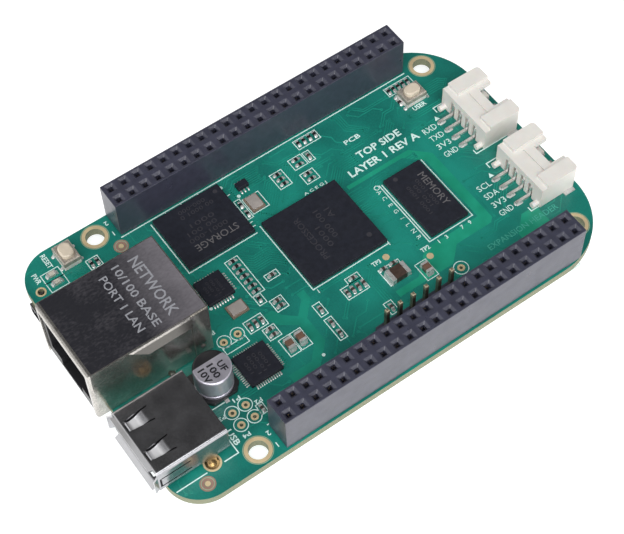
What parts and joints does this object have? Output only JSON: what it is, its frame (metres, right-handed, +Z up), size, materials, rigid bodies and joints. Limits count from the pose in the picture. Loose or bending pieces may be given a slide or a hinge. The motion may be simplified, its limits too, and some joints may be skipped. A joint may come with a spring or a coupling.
{
  "type": "single board computer",
  "caption": "Credit-card-sized single board computer with an Ethernet jack, a USB host socket, expansion headers along both long edges and sensor sockets.",
  "frame": {"origin": "middle of the footprint, on the surface that the part rests on", "axes": "+X from the connector end to the sensor socket end, +Y towards the far expansion header, +Z up from the board's underside to its component side"},
  "size_m": [0.0888, 0.0538, 0.0175],
  "materials": {
    "solder_mask": "green solder mask, satin gloss",
    "gold_plate": "gold flash over copper",
    "gold_contact": "gold plated contacts",
    "header_plastic": "fine matt",
    "shield_steel": "bright tinned sheet steel",
    "black_plastic": "semi matt",
    "green_lens": "diffuse lens",
    "amber_lens": "diffuse lens",
    "epoxy_block": "matt",
    "spring_steel": "bright",
    "plunger_plastic": "satin",
    "ivory_plastic": "satin",
    "pin_metal": "dull tinned pins",
    "printed_film": "dark printed film",
    "tinned_metal": "tinned",
    "chip_mould": "fine matt",
    "solder": "reflowed solder",
    "ceramic_pale": "ceramic",
    "crystal_metal": "satin lid",
    "can_aluminium": "satin",
    "ceramic_brown": "fired ceramic",
    "resistor_glaze": "glazed",
    "light_lens": "clear resin",
    "ferrite": "moulded"
  },
  "bodies": {
    "board": {"circuit_board": "solder_mask", "plated_pads": "gold_plate", "near_header_housing": "header_plastic", "near_header_contacts": "gold_contact", "far_header_housing": "header_plastic", "far_header_contacts": "gold_contact", "debug_header_base": "header_plastic", "debug_header_pins": "pin_metal", "ethernet_shield": "shield_steel", "ethernet_housing": "black_plastic", "ethernet_contacts": "gold_contact", "ethernet_light_left": "green_lens", "ethernet_light_right": "amber_lens", "ethernet_magnetics": "epoxy_block", "usb_shell": "shield_steel", "usb_tongue": "black_plastic", "usb_contacts": "gold_contact", "micro_usb_shell": "shield_steel", "micro_usb_tongue": "black_plastic", "micro_usb_contacts": "gold_contact", "microsd_base": "black_plastic", "microsd_shell": "shield_steel", "microsd_contacts": "gold_contact", "microsd_spring": "spring_steel", "reset_button_base": "ivory_plastic", "reset_button_cover": "shield_steel", "reset_button_dome": "spring_steel", "user_button_base": "ivory_plastic", "user_button_cover": "shield_steel", "user_button_dome": "spring_steel", "uart_socket_housing": "ivory_plastic", "uart_socket_contacts": "tinned_metal", "uart_socket_tabs": "tinned_metal", "i2c_socket_housing": "ivory_plastic", "i2c_socket_contacts": "tinned_metal", "i2c_socket_tabs": "tinned_metal", "processor_chip": "chip_mould", "memory_chip": "chip_mould", "flash_chip": "chip_mould", "solder_balls": "solder", "network_chip": "chip_mould", "power_chip": "chip_mould", "logic_chip": "chip_mould", "chip_leads": "solder", "crystal_bases": "ceramic_pale", "crystal_lids": "crystal_metal", "capacitor_can": "can_aluminium", "capacitor_base": "black_plastic", "capacitor_leads": "tinned_metal", "ceramic_capacitors": "ceramic_brown", "chip_resistors": "resistor_glaze", "status_lights": "light_lens", "power_inductor": "ferrite", "chip_terminals": "solder"},
    "reset_plunger": {"reset_button_plunger": "plunger_plastic"},
    "user_plunger": {"user_button_plunger": "plunger_plastic"},
    "card_slider": {"microsd_slider": "black_plastic"}
  },
  "joints": [
    {"name": "reset_button_press", "type": "slide", "parent": "board", "child": "reset_plunger", "axis": [0, 0, -1], "range_m": [0, 0.00025], "stiffness_N_per_m": 3000, "springref_m": -0.0002, "deforming": ["reset_button_dome"]},
    {"name": "user_button_press", "type": "slide", "parent": "board", "child": "user_plunger", "axis": [0, 0, -1], "range_m": [0, 0.00025], "stiffness_N_per_m": 3000, "springref_m": -0.0002, "deforming": ["user_button_dome"]},
    {"name": "card_slider_push", "type": "slide", "parent": "board", "child": "card_slider", "axis": [-1, 0, 0], "range_m": [0, 0.0012], "stiffness_N_per_m": 300, "springref_m": -0.001, "deforming": ["microsd_spring"]}
  ]
}
